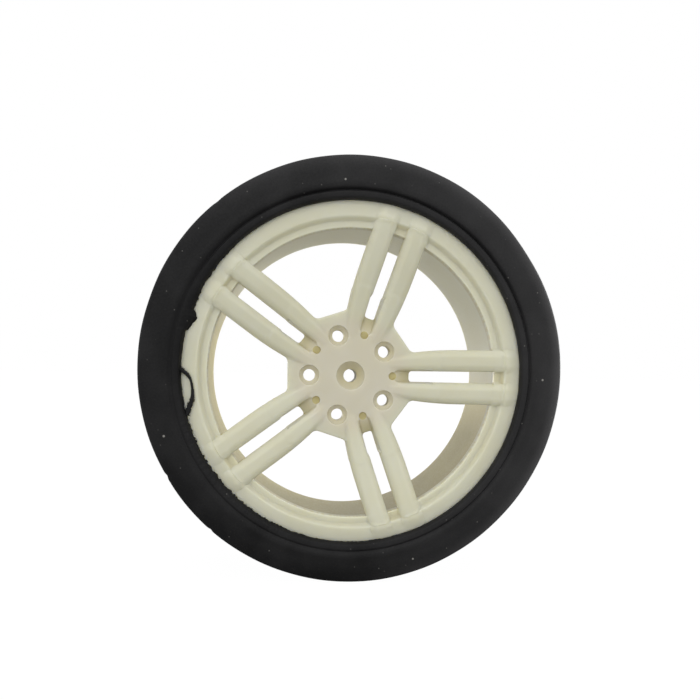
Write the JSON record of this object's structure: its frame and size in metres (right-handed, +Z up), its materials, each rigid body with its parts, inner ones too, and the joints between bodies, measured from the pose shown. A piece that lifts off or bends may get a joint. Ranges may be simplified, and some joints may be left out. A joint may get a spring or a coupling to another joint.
{
  "type": "robot car wheel",
  "caption": "Hobby robot car wheel: ivory plastic rim with twin spokes and lug holes, in a slick black rubber tyre.",
  "frame": {"origin": "centre of the wheel, on its axis and half-way through the tyre's width", "axes": "+Y along the axis from the outer face to the motor side, +Z up, +X to the right of the outer face"},
  "size_m": [0.065, 0.026, 0.065],
  "materials": {
    "rim_plastic": "satin moulded ivory plastic",
    "tyre_rubber": "matte black slick rubber"
  },
  "bodies": {
    "root": {"rim": "rim_plastic", "tyre": "tyre_rubber"}
  },
  "joints": []
}
